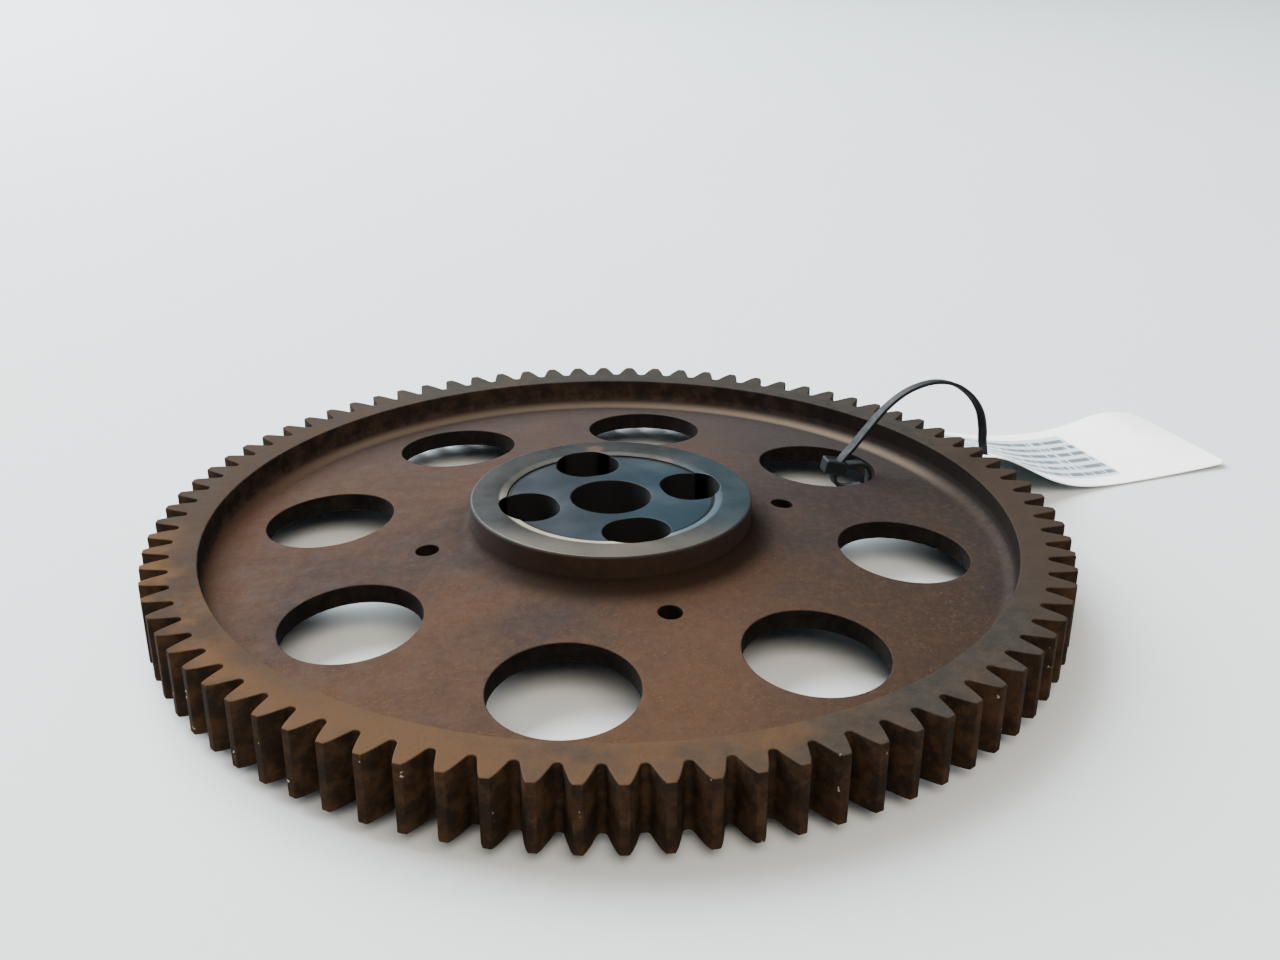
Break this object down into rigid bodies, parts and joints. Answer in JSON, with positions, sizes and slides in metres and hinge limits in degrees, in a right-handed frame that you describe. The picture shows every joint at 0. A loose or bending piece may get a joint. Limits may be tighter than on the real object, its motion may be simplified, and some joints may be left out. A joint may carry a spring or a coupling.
{
  "type": "spur gear",
  "caption": "Straight-cut spur gear with a dished, perforated web and a slotted hub; a cable tie holds a blank card tag on its rim.",
  "frame": {"origin": "centre of the hub's bottom face, on the gear's axis, where the gear stands", "axes": "+Z along the gear's axis, away from the bottom face; the rim's top face looks to +Z"},
  "size_m": [0.3642, 0.273, 0.0468],
  "materials": {
    "rusted_steel": "brown surface rust over an oily machined surface",
    "machined_steel": "fine turned, darkened and lightly oiled",
    "black_nylon": "satin moulded nylon",
    "laminated_card": "clear laminate over a pale printed card"
  },
  "bodies": {
    "gear": {"gear_wheel": "rusted_steel", "hub": "machined_steel"},
    "tie": {"cable_tie": "black_nylon"},
    "tag": {"part_tag": "laminated_card"}
  },
  "joints": [
    {"name": "tie_swivel", "type": "hinge", "parent": "gear", "child": "tie", "pos_m": [0.077, 0.0476, 0.0188], "axis": [0, 0, 1], "range_deg": [0, 15]},
    {"name": "tag_swing", "type": "hinge", "parent": "tie", "child": "tag", "pos_m": [0.12854, 0.05809, 0.018], "axis": [0, 0, 1], "range_deg": [-15, 6]}
  ]
}
